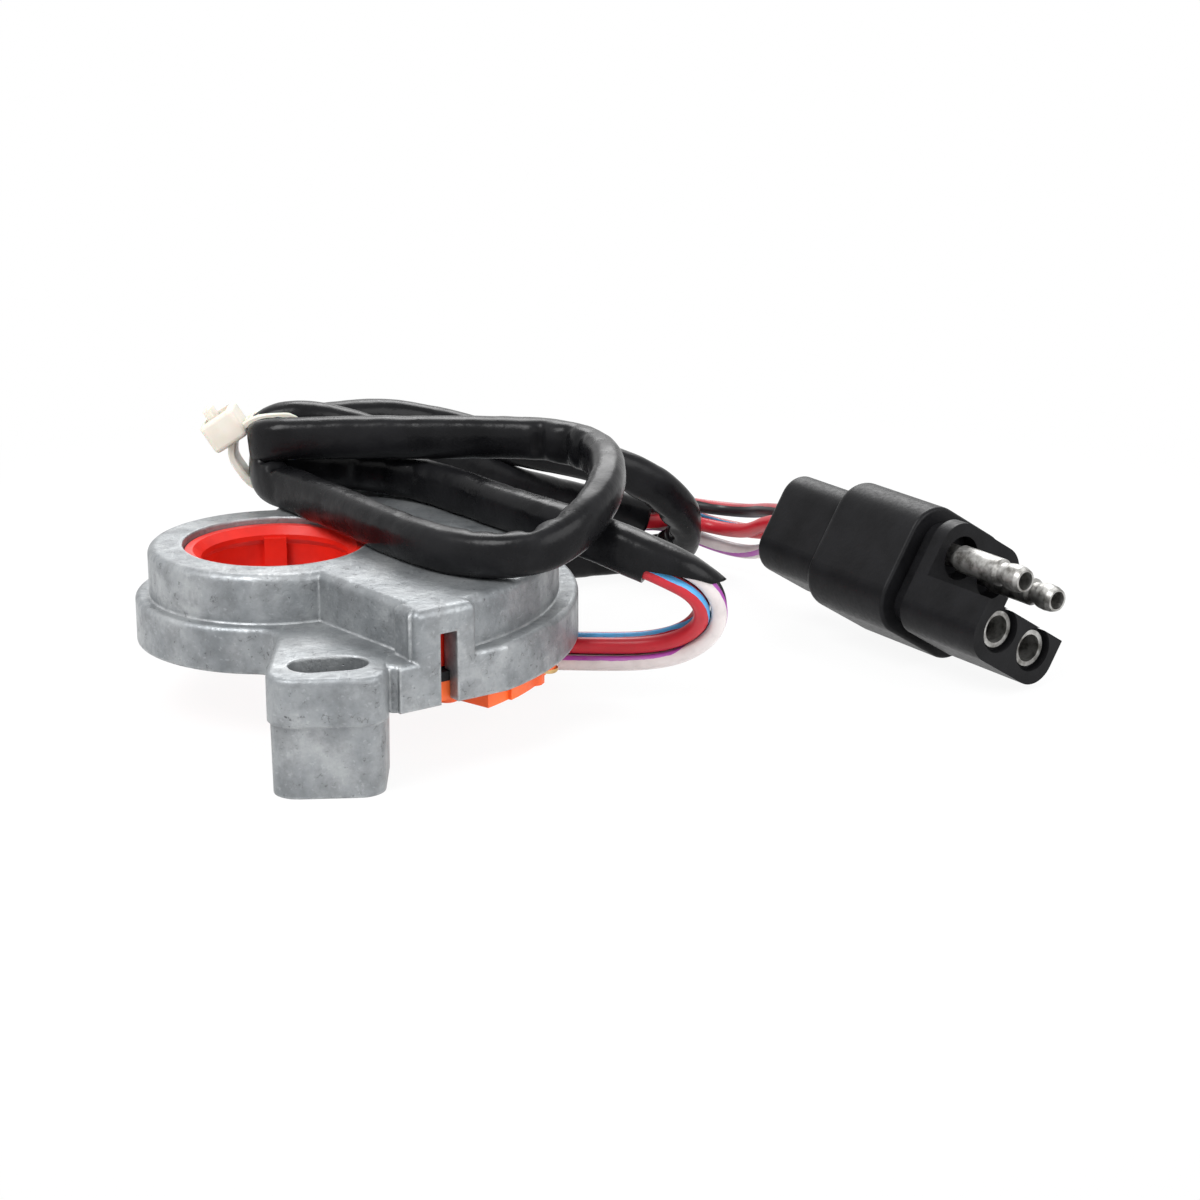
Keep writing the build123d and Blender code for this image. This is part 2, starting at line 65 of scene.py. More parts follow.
def paleWhenSeen(tree, shaded, share):
    # White for the camera and in reflections, and still shaded as far as the share is below 1
    path = tree.nodes.new("ShaderNodeLightPath")
    seen = tree.nodes.new("ShaderNodeMath")
    seen.operation = "MAXIMUM"
    tree.links.new(path.outputs["Is Camera Ray"], seen.inputs[0])
    tree.links.new(path.outputs["Is Glossy Ray"], seen.inputs[1])
    through = tree.nodes.new("ShaderNodeMath")
    through.operation = "MAXIMUM"
    tree.links.new(seen.outputs[0], through.inputs[0])
    tree.links.new(path.outputs["Is Transmission Ray"], through.inputs[1])
    part = tree.nodes.new("ShaderNodeMath")
    part.operation = "MULTIPLY"
    if isinstance(share, bpy.types.NodeSocket):
        tree.links.new(share, part.inputs[1])
    else:
        part.inputs[1].default_value = share
    tree.links.new(through.outputs[0], part.inputs[0])
    white = tree.nodes.new("ShaderNodeEmission")
    white.inputs["Strength"].default_value = 1.0
    mix = tree.nodes.new("ShaderNodeMixShader")
    tree.links.new(part.outputs[0], mix.inputs["Fac"])
    tree.links.new(shaded, mix.inputs[1])
    tree.links.new(white.outputs[0], mix.inputs[2])
    return mix.outputs[0]


def whiterFarOff(tree, middle, near, far, shares):
    # The floor's share of white, by the distance from the object's middle
    place = tree.nodes.new("ShaderNodeTexCoord")
    away = tree.nodes.new("ShaderNodeVectorMath")
    away.operation = "DISTANCE"
    away.inputs[1].default_value = middle
    tree.links.new(place.outputs["Object"], away.inputs[0])
    spread = tree.nodes.new("ShaderNodeMapRange")
    spread.interpolation_type = "SMOOTHSTEP"
    tree.links.new(away.outputs["Value"], spread.inputs["Value"])
    for name, value in zip(("From Min", "From Max", "To Min", "To Max"), (near, far, *shares)):
        spread.inputs[name].default_value = value
    return spread.outputs[0]


def makeStage():
    half = floorPlace["size"] / 2
    mesh = bpy.data.meshes.new("paleFloor")
    corners = [(-half, -half), (half, -half), (half, half), (-half, half)]
    mesh.from_pydata([(x, y, floorPlace["z"]) for x, y in corners], [], [(0, 1, 2, 3)])
    floor = bpy.data.objects.new("paleFloor", mesh)
    bpy.context.scene.collection.objects.link(floor)
    material = bpy.data.materials.new("palePaper")
    material.use_nodes = True
    tree = material.node_tree
    tree.nodes.clear()
    paper = tree.nodes.new("ShaderNodeBsdfDiffuse")
    paper.inputs["Color"].default_value = (0.93, 0.93, 0.93, 1)
    out = tree.nodes.new("ShaderNodeOutputMaterial")
    share = whiterFarOff(tree, floorPlace["middle"], 0.07, 0.20, (0.92, 1.0))
    tree.links.new(paleWhenSeen(tree, paper.outputs[0], share), out.inputs["Surface"])
    mesh.materials.append(material)
    world = bpy.data.worlds.new("studioWorld")
    bpy.context.scene.world = world
    world.use_nodes = True
    tree = world.node_tree
    tree.nodes.clear()
    soft = tree.nodes.new("ShaderNodeBackground")
    soft.inputs["Color"].default_value = (0.95, 0.97, 1.0, 1)
    soft.inputs["Strength"].default_value = 0.55
    out = tree.nodes.new("ShaderNodeOutputWorld")
    tree.links.new(paleWhenSeen(tree, soft.outputs[0], 1.0), out.inputs["Surface"])


def makeLamps():
    for lamp in lamps:
        data = bpy.data.lights.new(lamp["name"], "AREA")
        data.shape = "DISK"
        data.size = lamp["size"]
        data.energy = lamp["watts"]
        light = bpy.data.objects.new(lamp["name"], data)
        light.location = lamp["at"]
        aim = Vector(lamp["aim"]) - Vector(lamp["at"])
        light.rotation_euler = aim.to_track_quat("-Z", "Y").to_euler()
        bpy.context.scene.collection.objects.link(light)


bpy.context.scene.view_settings.view_transform = "Standard"
makeCamera()
makeStage()
makeLamps()
print("stage: camera, floor and lamps")

# the cords' routes, in millimetres, as in the part's source

leadRoute = [
    (43.0, 0.0, -3.3),
    (51.6, 0.0, -3.5),
    (59.6, -1.8, -2.8),
    (65.4, -4.2, -0.6),
    (68.9, -6.8, 3.4),
    (69.0, -9.4, 7.8),
    (66.6, -11.2, 11.4),
    (62.6, -11.6, 13.6),
    (58.3, -10.5, 15.2),
    (54.4, -9.1, 16.5),
]
tongueRoute = [(69.0, -9.9, 9.2), (66.8, -11.2, 11.6), (62.7, -11.5, 13.7)]
entryRoute = [
    (58.4, -10.5, 15.2),
    (51.5, -7.9, 17.6),
    (44.5, -2.6, 18.6),
    (37.6, 5.6, 18.5),
    (30.4, 15.2, 18.5),
    (22.5, 24.6, 18.7),
    (13.5, 28.6, 19.4),
    (3.6, 28.3, 20.6),
]
farRoute = [
    (3.6, 37.8, 25.1),
    (14.0, 42.0, 25.4),
    (24.0, 45.6, 22.6),
    (35.0, 47.8, 19.3),
    (47.0, 49.4, 16.6),
    (58.5, 52.0, 12.8),
    (66.3, 57.0, 5.2),
    (67.6, 63.2, -2.0),
    (63.0, 70.4, -7.3),
    (54.0, 72.6, -7.9),
    (43.5, 67.6, -7.6),
    (35.0, 60.0, -3.4),
    (28.0, 53.6, 4.6),
    (21.5, 48.8, 14.4),
    (13.6, 42.8, 18.9),
    (3.6, 34.9, 18.5),
]
nearRoute = [
    (3.6, 23.3, 26.1),
    (14.0, 23.7, 26.3),
    (24.5, 23.4, 26.2),
    (35.0, 23.2, 26.4),
    (44.0, 21.6, 26.3),
    (50.4, 15.2, 26.2),
    (53.0, 4.6, 26.2),
    (52.8, -5.6, 25.4),
    (50.0, -15.4, 22.8),
    (43.6, -21.6, 19.4),
    (34.8, -22.0, 18.5),
    (25.6, -15.8, 18.5),
    (17.4, -4.8, 18.4),
    (10.8, 5.2, 18.5),
    (5.6, 12.6, 18.4),
    (0.9, 18.9, 18.5),
]
exitRoute = [
    (3.6, 30.5, 27.4),
    (14.0, 34.8, 23.4),
    (22.5, 38.4, 19.8),
    (30.0, 43.2, 15.2),
    (38.0, 50.0, 10.4),
    (47.8, 58.6, 5.8),
    (58.6, 66.8, 1.2),
]
tailRoute = [
    (58.6, 66.8, 1.2),
    (65.0, 73.2, 0.0),
    (72.4, 75.4, -3.0),
    (79.2, 70.4, -3.0),
    (82.4, 62.2, -0.2),
    (84.4, 54.6, 2.2),
    (87.74, 47.14, 3.28),
]

# the turns inside the tied folds, between the strands
foldToFar = [(-2.8, 28.4, 21.4), (-5.4, 31.8, 22.8), (-3.0, 36.2, 24.4)]
foldToNear = [(-2.6, 34.2, 18.6), (-5.4, 31.4, 20.6), (-5.8, 26.4, 24.4), (-2.8, 23.2, 26.0)]
foldToExit = [(-2.6, 22.4, 18.7), (-4.8, 25.8, 20.6), (-5.6, 29.2, 24.4), (-2.6, 30.4, 27.2)]


def linePoints(name, curve):
    # The points of a curve's line, in metres
    holder = bpy.data.objects.new(name, curve)
    bpy.context.scene.collection.objects.link(holder)
    bpy.context.view_layer.update()
    mesh = bpy.data.meshes.new_from_object(holder)
    line = np.array([tuple(v.co) for v in mesh.vertices])
    bpy.data.objects.remove(holder)
    bpy.data.meshes.remove(mesh)
    return line


def smoothLine(name, points):
    # Points of the smooth line that the route's own points control
    curve = bpy.data.curves.new(name, "CURVE")
    curve.dimensions = "3D"
    curve.resolution_u = 12
    spline = curve.splines.new("NURBS")
    spline.points.add(len(points) - 1)
    for point, place in zip(spline.points, points):
        point.co = (place[0] * mm, place[1] * mm, place[2] * mm, 1)
    spline.order_u = 3
    spline.use_endpoint_u = True
    return linePoints(name, curve)


def evenSteps(line, step):
    # The line at even steps, and how far along it each step is
    along = np.r_[0, np.cumsum(np.linalg.norm(np.diff(line, axis=0), axis=1))]
    count = max(2, int(round(along[-1] / step)) + 1)
    places = np.linspace(0, along[-1], count)
    return np.stack([np.interp(places, along, line[:, k]) for k in range(3)], axis=1), places


def steadyFrames(line, firstUp):
    # Two directions across a line, carried along it without twist
    along = np.gradient(line, axis=0)
    along /= np.linalg.norm(along, axis=1)[:, None]
    up = np.array(firstUp, float)
    ups = []
    for t in along:
        up = up - t * np.dot(up, t)
        up /= np.linalg.norm(up)
        ups.append(up)
    ups = np.array(ups)
    return ups, np.cross(along, ups)


def meshObject(name, points, faces):
    mesh = bpy.data.meshes.new(name)
    mesh.from_pydata([tuple(p) for p in points], [], faces)
    mesh.polygons.foreach_set("use_smooth", [True] * len(mesh.polygons))
    piece = bpy.data.objects.new(name, mesh)
    bpy.context.scene.collection.objects.link(piece)
    return piece


def sweptSkin(name, rings):
    # Joins rings of points into one closed skin, with flat-shaded ends
    count = len(rings[0])
    points = np.concatenate(rings)
    faces = []
    for ring in range(len(rings) - 1):
        low = ring * count
        for k in range(count):
            nextK = (k + 1) % count
            faces.append((low + k, low + nextK, low + count + nextK, low + count + k))
    faces.append(tuple(reversed(range(count))))
    faces.append(tuple(range((len(rings) - 1) * count, len(rings) * count)))
    piece = meshObject(name, points, faces)
    for polygon in list(piece.data.polygons)[-2:]:
        polygon.use_smooth = False
    return piece


def beside(points, angle, spreads, twist=0.0):
    # One wire of a bundle, by its place round the bundle's middle
    moved = []
    last = len(points) - 1
    for index, point in enumerate(points):
        along = (Vector(points[min(index + 1, last)]) - Vector(points[max(index - 1, 0)])).normalized()
        sideways = (Vector((0, 1, 0)) - along * along.y).normalized()
        place = math.radians(angle + twist * index / last)
        away = sideways * math.cos(place) + sideways.cross(along) * math.sin(place)
        moved.append(tuple(Vector(point) + away * spreads[index]))
    return moved


def lineLength(line):
    return float(np.linalg.norm(np.diff(line, axis=0), axis=1).sum())


# materials

def newMaterial(name):
    material = bpy.data.materials.new(name)
    material.use_nodes = True
    tree = material.node_tree
    shader = next(n for n in tree.nodes if n.type == "BSDF_PRINCIPLED")
    return material, tree, shader


def objectPoints(tree, scale=(1, 1, 1)):
    source = tree.nodes.new("ShaderNodeTexCoord")
    mapping = tree.nodes.new("ShaderNodeMapping")
    mapping.inputs["Scale"].default_value = scale
    tree.links.new(source.outputs["Object"], mapping.inputs["Vector"])
    return mapping.outputs[0]


def noiseOf(tree, vector, scale, detail=4.0, rough=0.55):
    node = tree.nodes.new("ShaderNodeTexNoise")
    node.inputs["Scale"].default_value = scale
    node.inputs["Detail"].default_value = detail
    node.inputs["Roughness"].default_value = rough
    tree.links.new(vector, node.inputs["Vector"])
    return node.outputs["Fac"]


def ramp(tree, value, stops):
    # A colour for each place from 0 to 1
    node = tree.nodes.new("ShaderNodeValToRGB")
    elements = node.color_ramp.elements
    while len(elements) < len(stops):
        elements.new(0.5)
    for element, (place, color) in zip(elements, stops):
        element.position = place
        element.color = (*color, 1)
    tree.links.new(value, node.inputs[0])
    return node.outputs[0]


def grey(value):
    return (value, value, value)


def mixColor(tree, factor, first, second):
    node = tree.nodes.new("ShaderNodeMix")
    node.data_type = "RGBA"
    for socket, value in ((node.inputs[0], factor), (node.inputs[6], first), (node.inputs[7], second)):
        if isinstance(value, bpy.types.NodeSocket):
            tree.links.new(value, socket)
        elif isinstance(value, (int, float)):
            socket.default_value = value
        else:
            socket.default_value = (*value, 1)
    return node.outputs[2]


def calc(tree, operation, first, second=0.0):
    node = tree.nodes.new("ShaderNodeMath")
    node.operation = operation
    for socket, value in ((node.inputs[0], first), (node.inputs[1], second)):
        if isinstance(value, bpy.types.NodeSocket):
            tree.links.new(value, socket)
        else:
            socket.default_value = value
    return node.outputs[0]


def softNormal(tree, radius):
    node = tree.nodes.new("ShaderNodeBevel")
    node.samples = 6
    node.inputs["Radius"].default_value = radius
    return node.outputs[0]


def addBump(tree, shader, height, strength, distance):
    node = tree.nodes.new("ShaderNodeBump")
    node.inputs["Strength"].default_value = strength
    node.inputs["Distance"].default_value = distance
    tree.links.new(height, node.inputs["Height"])
    tree.links.new(node.outputs[0], shader.inputs["Normal"])
    return node


def edgeShare(tree, radius):
    # How far a softened normal leans away from the real one: high along edges
    geometry = tree.nodes.new("ShaderNodeNewGeometry")
    dot = tree.nodes.new("ShaderNodeVectorMath")
    dot.operation = "DOT_PRODUCT"
    tree.links.new(softNormal(tree, radius), dot.inputs[0])
    tree.links.new(geometry.outputs["Normal"], dot.inputs[1])
    return calc(tree, "SUBTRACT", 1.0, dot.outputs["Value"])


def between(tree, value, low, high):
    # 0 below the low value and 1 above the high one
    return ramp(tree, value, [(low, grey(0.0)), (high, grey(1.0))])


cast = {
    "tones": [(0.32, (0.165, 0.178, 0.188)), (0.50, (0.270, 0.284, 0.294)), (0.70, (0.380, 0.392, 0.398))],
    "blotch": (0.135, 0.140, 0.145), "stain": (0.035, 0.035, 0.038), "streak": (0.50, 0.52, 0.53),
    # the edge colour and its reach make a painted highlight along the rounded edges, partly real wear
    "edgeHighlightAndWear": (0.72, 0.74, 0.75), "edgeHighlightReach": 0.0009, "roundedEdge": 0.0007, "lineWidth": 0.009,
    "scratchAt": (0.0144, -0.054, 0.0031), "scratchHalf": 0.0030, "scratchThick": 0.00012, "scratchDeep": 0.006,
}


def product(tree, *values):
    # The values multiplied together, from the first on
    result = values[0]
    for value in values[1:]:
        result = calc(tree, "MULTIPLY", result, value)
    return result


def scratchMark(tree, points):
    # One dark level scratch on the foot's front, broken up by the noise
    middle = cast["scratchAt"]
    parts = tree.nodes.new("ShaderNodeSeparateXYZ")
    tree.links.new(points, parts.inputs[0])
    sag = product(tree, calc(tree, "SUBTRACT", noiseOf(tree, points, 300, 2, 0.5), 0.5), 0.0006)
    height = calc(tree, "ADD", calc(tree, "SUBTRACT", parts.outputs[2], middle[2]), sag)
    level = calc(tree, "LESS_THAN", calc(tree, "ABSOLUTE", height), cast["scratchThick"])
    across = calc(tree, "ABSOLUTE", calc(tree, "SUBTRACT", parts.outputs[0], middle[0]))
    short = calc(tree, "LESS_THAN", across, cast["scratchHalf"])
    front = calc(tree, "LESS_THAN", parts.outputs[1], middle[1] + cast["scratchDeep"])
    broken = between(tree, noiseOf(tree, points, 1100, 2, 0.5), 0.36, 0.46)
    return product(tree, level, short, front, broken)


def castMetal():
    material, tree, shader = newMaterial("castMetal")
    points = objectPoints(tree)
    stretched = objectPoints(tree, (1.0, 0.16, 1.0))
    cloudy = noiseOf(tree, points, 95, 5, 0.62)
    blotchy = noiseOf(tree, points, 260, 5, 0.68)
    fine = noiseOf(tree, points, 900, 4, 0.6)
    color = ramp(tree, cloudy, cast["tones"])
    color = mixColor(tree, product(tree, between(tree, blotchy, 0.44, 0.62), 0.45), color, cast["blotch"])
    pits = between(tree, noiseOf(tree, points, 1500, 2, 0.5), 0.66, 0.73)
    patch = between(tree, noiseOf(tree, points, 160, 3, 0.5), 0.46, 0.62)
    stain = product(tree, pits, patch)
    thin = calc(tree, "ABSOLUTE", calc(tree, "SUBTRACT", noiseOf(tree, points, 330, 3, 0.6), 0.5))
    here = between(tree, noiseOf(tree, points, 520, 2, 0.5), 0.58, 0.62)
    squiggle = product(tree, calc(tree, "LESS_THAN", thin, cast["lineWidth"]), here)
    stain = calc(tree, "MAXIMUM", stain, product(tree, squiggle, 0.6))
    stain = calc(tree, "MAXIMUM", stain, scratchMark(tree, points))
    color = mixColor(tree, product(tree, stain, 0.75), color, cast["stain"])
    lines = between(tree, noiseOf(tree, stretched, 1300, 3, 0.5), 0.62, 0.68)
    color = mixColor(tree, product(tree, lines, 0.20), color, cast["streak"])
    # Lighter along the rounded edges, where the softened normal leans away: a painted highlight, partly real wear
    # of the cast metal
    edgeHighlight = between(tree, edgeShare(tree, cast["edgeHighlightReach"]), 0.03, 0.24)
    uneven = ramp(tree, noiseOf(tree, points, 420, 3, 0.6), [(0.40, grey(0.25)), (0.62, grey(1.0))])
    color = mixColor(tree, product(tree, edgeHighlight, uneven, 0.70), color, cast["edgeHighlightAndWear"])
    tree.links.new(color, shader.inputs["Base Color"])
    shader.inputs["Metallic"].default_value = 0.60
    rough = ramp(tree, blotchy, [(0.35, grey(0.34)), (0.70, grey(0.56))])
    tree.links.new(rough, shader.inputs["Roughness"])
    grain = calc(tree, "ADD", fine, product(tree, blotchy, 0.9))
    grain = calc(tree, "SUBTRACT", grain, product(tree, stain, 0.8))
    bump = addBump(tree, shader, grain, 0.40, 0.00032)
    tree.links.new(softNormal(tree, cast["roundedEdge"]), bump.inputs["Normal"])
    return material


def mouldedPlastic(name, color, dark, rough, bump=0.12, shine=0.42):
    material, tree, shader = newMaterial(name)
    points = objectPoints(tree)
    cloudy = noiseOf(tree, points, 150, 4, 0.55)
    shade = ramp(tree, cloudy, [(0.32, dark), (0.62, color)])
    tree.links.new(shade, shader.inputs["Base Color"])
    fine = noiseOf(tree, points, 1400, 3, 0.5)
    roughness = ramp(tree, fine, [(0.3, grey(rough - 0.06)), (0.7, grey(rough + 0.08))])
    tree.links.new(roughness, shader.inputs["Roughness"])
    addBump(tree, shader, fine, bump, 0.00012)
    shader.inputs["Specular IOR Level"].default_value = shine
    return material


def plainMetal(name, color, dark, rough):
    material, tree, shader = newMaterial(name)
    points = objectPoints(tree)
    cloudy = noiseOf(tree, points, 500, 5, 0.6)
    tree.links.new(ramp(tree, cloudy, [(0.34, dark), (0.60, color)]), shader.inputs["Base Color"])
    shader.inputs["Metallic"].default_value = 0.85
    fine = noiseOf(tree, points, 2500, 3, 0.5)
    roughness = ramp(tree, fine, [(0.3, grey(rough)), (0.7, grey(rough + 0.2))])
    tree.links.new(roughness, shader.inputs["Roughness"])
    addBump(tree, shader, cloudy, 0.15, 0.0001)
    return material


def sleeveVinyl():
    material, tree, shader = newMaterial("sleeveVinyl")
    points = objectPoints(tree)
    cloudy = noiseOf(tree, points, 130, 4, 0.6)
    shade = ramp(tree, cloudy, [(0.3, (0.0035, 0.0035, 0.0040)), (0.7, (0.009, 0.009, 0.010))])
    tree.links.new(shade, shader.inputs["Base Color"])
    fine = noiseOf(tree, points, 1100, 4, 0.6)
    tree.links.new(ramp(tree, cloudy, [(0.3, grey(0.20)), (0.7, grey(0.36))]), shader.inputs["Roughness"])
    height = calc(tree, "ADD", product(tree, cloudy, 1.1), product(tree, fine, 0.16))
    addBump(tree, shader, height, 0.40, 0.00045)
    shader.inputs["Specular IOR Level"].default_value = 0.13
    return material


def tieNylon():
    material, tree, shader = newMaterial("tieNylon")
    points = objectPoints(tree)
    cloudy = noiseOf(tree, points, 220, 3, 0.5)
    shade = ramp(tree, cloudy, [(0.3, (0.60, 0.565, 0.485)), (0.7, (0.70, 0.67, 0.60))])
    tree.links.new(shade, shader.inputs["Base Color"])
    shader.inputs["Roughness"].default_value = 0.42
    shader.inputs["Subsurface Weight"].default_value = 0.25
    shader.inputs["Subsurface Scale"].default_value = 0.0012
    fine = noiseOf(tree, points, 900, 2, 0.5)
    addBump(tree, shader, fine, 0.10, 0.0001)
    return material


def stripedWire(name, base, stripe, share):
    # Insulation with one stripe: the attribute wireRound counts turns away from the stripe's middle
    material, tree, shader = newMaterial(name)
    place = tree.nodes.new("ShaderNodeAttribute")
    place.attribute_name = "wireRound"
    points = objectPoints(tree)
    ripple = product(tree, calc(tree, "SUBTRACT", noiseOf(tree, points, 700, 2, 0.5), 0.5), 0.03)
    off = calc(tree, "ABSOLUTE", calc(tree, "ADD", place.outputs["Fac"], ripple))
    inside = calc(tree, "LESS_THAN", off, share / 2)
    color = mixColor(tree, inside, base, stripe)
    grime = noiseOf(tree, points, 380, 4, 0.6)
    grimy = ramp(tree, grime, [(0.50, grey(0.0)), (0.80, grey(0.35))])
    color = mixColor(tree, grimy, color, tuple(c * 0.55 for c in base))
    tree.links.new(color, shader.inputs["Base Color"])
    shader.inputs["Roughness"].default_value = 0.36
    shader.inputs["Specular IOR Level"].default_value = 0.35
    addBump(tree, shader, grime, 0.08, 0.0001)
    return material


metalOfHousing = castMetal()
redPlastic = mouldedPlastic("redPlastic", (0.70, 0.018, 0.008), (0.56, 0.012, 0.006), 0.34)
orangePlastic = mouldedPlastic("orangePlastic", (0.85, 0.135, 0.022), (0.72, 0.095, 0.016), 0.45)
sealRubber = mouldedPlastic(
    "sealRubber", (0.014, 0.014, 0.015), (0.008, 0.008, 0.009), 0.60, bump=0.12, shine=0.25
)
plugRubber = mouldedPlastic(
    "plugRubber", (0.0085, 0.0085, 0.0095), (0.0040, 0.0040, 0.0045), 0.40, bump=0.25, shine=0.12
)
contactBrass = plainMetal("contactBrass", (0.72, 0.50, 0.22), (0.52, 0.34, 0.14), 0.26)
terminalMetal = plainMetal("terminalMetal", (0.46, 0.455, 0.44), (0.13, 0.125, 0.115), 0.32)
springSteel = plainMetal("springSteel", (0.56, 0.56, 0.58), (0.38, 0.38, 0.40), 0.25)
sleeveBlack = sleeveVinyl()
nylon = tieNylon()
wireFinishes = {
    "red": stripedWire("wireRedBlue", (0.42, 0.012, 0.022), (0.07, 0.33, 0.62), 0.13),
    "white": stripedWire("wireWhitePurple", (0.60, 0.55, 0.54), (0.36, 0.07, 0.36), 0.12),
    "black": stripedWire("wireBlackPink", (0.014, 0.014, 0.016), (0.36, 0.05, 0.06), 0.14),
}

nodeFinishes = {
    "housing": metalOfHousing,
    "rotor": redPlastic,
    "rotor_seal_upper": sealRubber,
    "rotor_seal_lower": sealRubber,
    "contact_bridge": contactBrass,
    "bridge_springs": springSteel,
    "base_plate": orangePlastic,
    "plate_gasket": sealRubber,
    "plate_rivets": contactBrass,
    "terminal_rivets": contactBrass,
    "start_feed_strip": contactBrass,
    "start_switched_strip": contactBrass,
    "reverse_feed_strip": contactBrass,
    "reverse_switched_strip": contactBrass,
    "plug_body": plugRubber,
    "plug_pin_front": terminalMetal,
    "plug_pin_rear": terminalMetal,
    "plug_socket_front": terminalMetal,
    "plug_socket_rear": terminalMetal,
}
for nodeName, finish in nodeFinishes.items():
    for slot in nodes[nodeName].material_slots:
        slot.material = finish
print("stage: materials on the CAD nodes")

# the cable tie

strapLine = [
    (-2.0, 29.4),
    (1.6, 28.6),
    (3.3, 25.4),
    (3.2, 20.4),
    (0.6, 16.6),
    (-3.2, 15.45),
    (-6.8, 16.4),
    (-9.2, 18.9),
    (-10.7, 22.6),
    (-8.6, 27.2),
]
tie = {
    "y": 30.0, "width": 4.7, "thick": 1.25, "step": 0.35, "ribPitch": 1.15, "sunk": 0.22, "rib": (3.0, 0.5, 0.32),
    "headAt": (-11.2, 26.4), "headTurn": 33.0, "headSize": (6.4, 7.0, 5.4), "stub": (1.4, 4.1, 2.4),
    "stubAt": (-0.7, 0.6), "stubRound": 0.25, "headRound": 0.7, "slotEdge": 0.5, "slotDepth": 0.8,
}


def loopLine():
    # The strap's outer line, closed, through its own points
    curve = bpy.data.curves.new("strapLine", "CURVE")
    curve.dimensions = "3D"
    curve.resolution_u = 24
    spline = curve.splines.new("BEZIER")
    spline.bezier_points.add(len(strapLine) - 1)
    for point, (x, z) in zip(spline.bezier_points, strapLine):
        point.co = (x * mm, tie["y"] * mm, z * mm)
        point.handle_left_type = "AUTO"
        point.handle_right_type = "AUTO"
    spline.use_cyclic_u = True
    return linePoints("strapLine", curve) / mm


def inwardOf(line):
    # Directions from the closed line into the ring
    after, before = np.roll(line, -1, axis=0), np.roll(line, 1, axis=0)
    along = (after - before) / np.linalg.norm(after - before, axis=1)[:, None]
    return np.stack([along[:, 2], np.zeros(len(line)), -along[:, 0]], axis=1)


def strapBand(line):
    # A flat band with raised edges, bent round into a ring
    inward = inwardOf(line)
    half, thick, sunk = tie["width"] / 2, tie["thick"], tie["sunk"]
    profile = [
        (-half + 0.25, 0.0), (-half + 0.75, 0.0), (-half + 0.95, sunk), (half - 0.95, sunk), (half - 0.75, 0.0),
        (half - 0.25, 0.0), (half, 0.25), (half, thick - 0.25), (half - 0.25, thick), (-half + 0.25, thick),
        (-half, thick - 0.25), (-half, 0.25),
    ]
    rings = []
    for point, inside in zip(line, inward):
        rings.append(point + np.array([inside * deep + np.array([0, over, 0]) for over, deep in profile]))
    size, last = len(profile), len(rings)
    faces = []
    for ring in range(last):
        low, high = ring * size, (ring + 1) % last * size
        for k in range(size):
            nextK = (k + 1) % size
            faces.append((low + k, low + nextK, high + nextK, high + k))
    band = meshObject("tieSkin", np.concatenate(rings) * mm, faces)
    band.data.polygons.foreach_set("use_smooth", [False] * len(faces))
    return band


def ribTree(count, size):
    # Places a small bar at even steps along a closed line
    tree = bpy.data.node_groups.new("strapRibs", "GeometryNodeTree")
    face = tree.interface
    face.new_socket("Geometry", in_out="OUTPUT", socket_type="NodeSocketGeometry")
    face.new_socket("Geometry", in_out="INPUT", socket_type="NodeSocketGeometry")
    inputs = {}
    for name, kind in (("Rib Count", "NodeSocketInt"), ("Rib Size", "NodeSocketVector")):
        inputs[name] = face.new_socket(name, in_out="INPUT", socket_type=kind).identifier
    start = tree.nodes.new("NodeGroupInput")
    toCurve = tree.nodes.new("GeometryNodeMeshToCurve")
    spread = tree.nodes.new("GeometryNodeCurveToPoints")
    bar = tree.nodes.new("GeometryNodeMeshCube")
    place = tree.nodes.new("GeometryNodeInstanceOnPoints")
    real = tree.nodes.new("GeometryNodeRealizeInstances")
    paint = tree.nodes.new("GeometryNodeSetMaterial")
    paint.inputs["Material"].default_value = nylon
    end = tree.nodes.new("NodeGroupOutput")
    tree.links.new(start.outputs["Geometry"], toCurve.inputs["Mesh"])
    tree.links.new(toCurve.outputs["Curve"], spread.inputs["Curve"])
    tree.links.new(start.outputs["Rib Count"], spread.inputs["Count"])
    tree.links.new(start.outputs["Rib Size"], bar.inputs["Size"])
    tree.links.new(spread.outputs["Points"], place.inputs["Points"])
    tree.links.new(spread.outputs["Rotation"], place.inputs["Rotation"])
    tree.links.new(bar.outputs["Mesh"], place.inputs["Instance"])
    tree.links.new(place.outputs["Instances"], real.inputs["Geometry"])
    tree.links.new(real.outputs["Geometry"], paint.inputs["Geometry"])
    tree.links.new(paint.outputs["Geometry"], end.inputs["Geometry"])
    return tree, {inputs["Rib Count"]: count, inputs["Rib Size"]: size}


def strapRibs(line):
    # Fine bars across the strap's sunk middle, in one mesh
    sunk = line + inwardOf(line) * tie["sunk"]
    mesh = bpy.data.meshes.new("ribLine")
    last = len(sunk)
    mesh.from_pydata([tuple(p * mm) for p in sunk], [(k, (k + 1) % last) for k in range(last)], [])
    holder = bpy.data.objects.new("ribLine", mesh)
    bpy.context.scene.collection.objects.link(holder)
    count = int(lineLength(line) / tie["ribPitch"])
    tree, values = ribTree(count, [v * mm for v in tie["rib"]])
    modifier = holder.modifiers.new("strapRibs", "NODES")
    modifier.node_group = tree
    for identifier, value in values.items():
        modifier[identifier] = value
    bpy.context.view_layer.update()
    made = bpy.data.meshes.new_from_object(holder.evaluated_get(bpy.context.evaluated_depsgraph_get()))
    bpy.data.objects.remove(holder)
    return made


